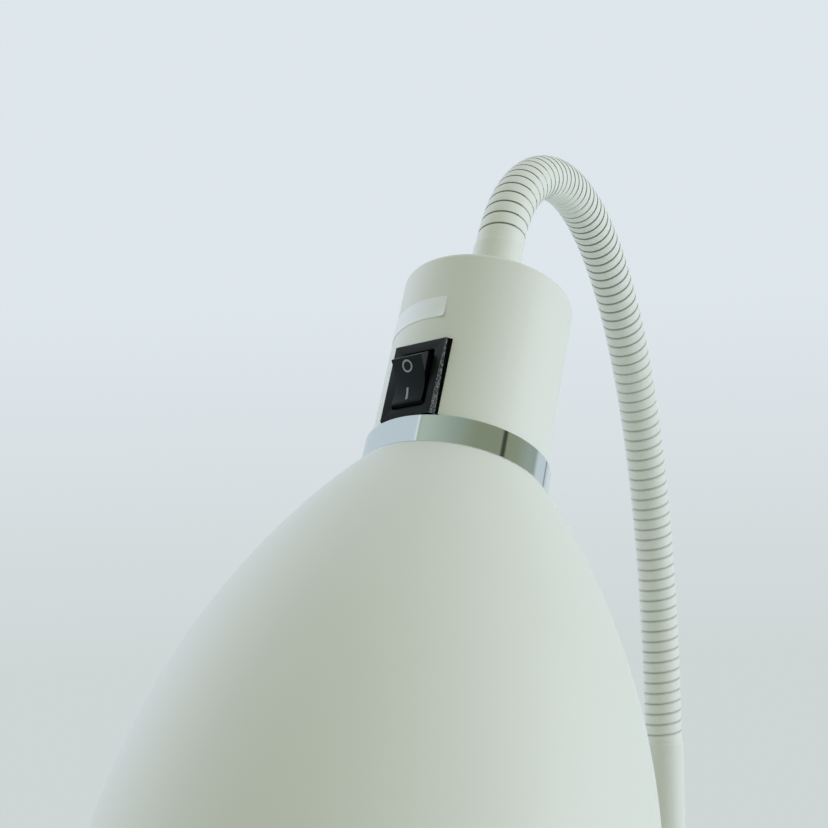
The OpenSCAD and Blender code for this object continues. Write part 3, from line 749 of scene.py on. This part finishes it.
def glow(tree, color, strength=1.0):
    """Light of a colour and a strength, each a value or a socket."""
    node = add_node(tree, "ShaderNodeBackground")
    for socket, value in (("Color", color), ("Strength", strength)):
        if isinstance(value, bpy.types.NodeSocket):
            tree.links.new(value, node.inputs[socket])
        else:
            node.inputs[socket].default_value = (*value, 1) if socket == "Color" else value
    return node.outputs["Background"]


def soft_window(tree, place, direction, spread, color):
    """Light that comes mostly from one direction."""
    half = world_math(tree, "MULTIPLY", world_math(tree, "ADD", toward(tree, place, direction), 1), 0.5)
    return glow(tree, color, world_math(tree, "POWER", half, spread))


def joined(tree, kind, first, second, share=None):
    """Two shaders added, or mixed by a share."""
    node = add_node(tree, kind)
    sockets = [socket for socket in node.inputs if socket.type == "SHADER"]
    tree.links.new(first, sockets[0])
    tree.links.new(second, sockets[1])
    if share:
        tree.links.new(share, node.inputs["Fac"])
    return node.outputs[0]


def pale_room():
    """Pale backdrop, two soft windows behind the lamp, and the room's sides as metal mirrors them."""
    world = bpy.data.worlds.new("pale_room")
    bpy.context.scene.world = world
    world.use_nodes = True
    tree = world.node_tree
    tree.nodes.clear()
    place = add_node(tree, "ShaderNodeTexCoord")
    # Seen directly: pale blue grey, a little deeper low down
    upward = toward(tree, place, (0, 0, 1))
    height = map_range(tree, upward, from_min=BACKDROP_LOW, from_max=BACKDROP_HIGH)
    backdrop = ramp(tree, height.outputs["Result"], BACKDROP)
    seen = glow(tree, backdrop.outputs["Color"])
    # As light
    light = glow(tree, ROOM_LIGHT)
    for direction, spread, color in WINDOWS:
        window = soft_window(tree, place, direction, spread, color)
        light = joined(tree, "ShaderNodeAddShader", light, window)
    # As mirrored: by the angle round the head's axis
    angle = world_math(tree, "ARCTAN2", toward(tree, place, HEAD_SIDE_Y), toward(tree, place, HEAD_SIDE_X))
    share = world_math(tree, "ADD", world_math(tree, "DIVIDE", angle, TURN), 0.5)
    sides = ramp(tree, share, [(degrees / 360 + 0.5, color) for degrees, color in ROOM_SIDES])
    mirrored = glow(tree, sides.outputs["Color"])
    path = add_node(tree, "ShaderNodeLightPath")
    room = joined(tree, "ShaderNodeMixShader", light, mirrored, path.outputs["Is Glossy Ray"])
    whole = joined(tree, "ShaderNodeMixShader", room, seen, path.outputs["Is Camera Ray"])
    output = add_node(tree, "ShaderNodeOutputWorld")
    tree.links.new(whole, output.inputs["Surface"])


def pale_floor():
    """Disc that fades out towards its rim."""
    shape = bmesh.new()
    bmesh.ops.create_circle(shape, cap_ends=True, segments=96, radius=FLOOR_RADIUS)
    mesh = bpy.data.meshes.new("floor")
    shape.to_mesh(mesh)
    shape.free()
    material, tree, shader = new_material("pale_floor", (0.70, 0.745, 0.76), 0.75)
    place = add_node(tree, "ShaderNodeTexCoord")
    length = add_node(tree, "ShaderNodeVectorMath", operation="LENGTH")
    tree.links.new(place.outputs["Object"], length.inputs[0])
    inner, outer = (share * FLOOR_RADIUS for share in FLOOR_FADE)
    fade = map_range(tree, length.outputs["Value"], from_min=inner, from_max=outer)
    fade.interpolation_type = "SMOOTHSTEP"
    clear = add_node(tree, "ShaderNodeBsdfTransparent")
    surface = joined(tree, "ShaderNodeMixShader", shader.outputs["BSDF"], clear.outputs["BSDF"],
                     fade.outputs["Result"])
    tree.links.new(surface, tree.nodes["Material Output"].inputs["Surface"])
    mesh.materials.append(material)
    floor = bpy.data.objects.new("floor", mesh)
    bpy.context.scene.collection.objects.link(floor)


pale_room()
pale_floor()

camera_data = bpy.data.cameras.new("camera")
camera_data.sensor_width = SENSOR_WIDTH
camera_data.lens = CAMERA_LENS
camera_data.clip_start = NEAREST_SEEN
camera = bpy.data.objects.new("camera", camera_data)
camera.location = CAMERA_PLACE
camera.rotation_euler = CAMERA_TURN
bpy.context.scene.collection.objects.link(camera)
bpy.context.scene.camera = camera

bpy.context.scene.view_settings.view_transform = "Standard"
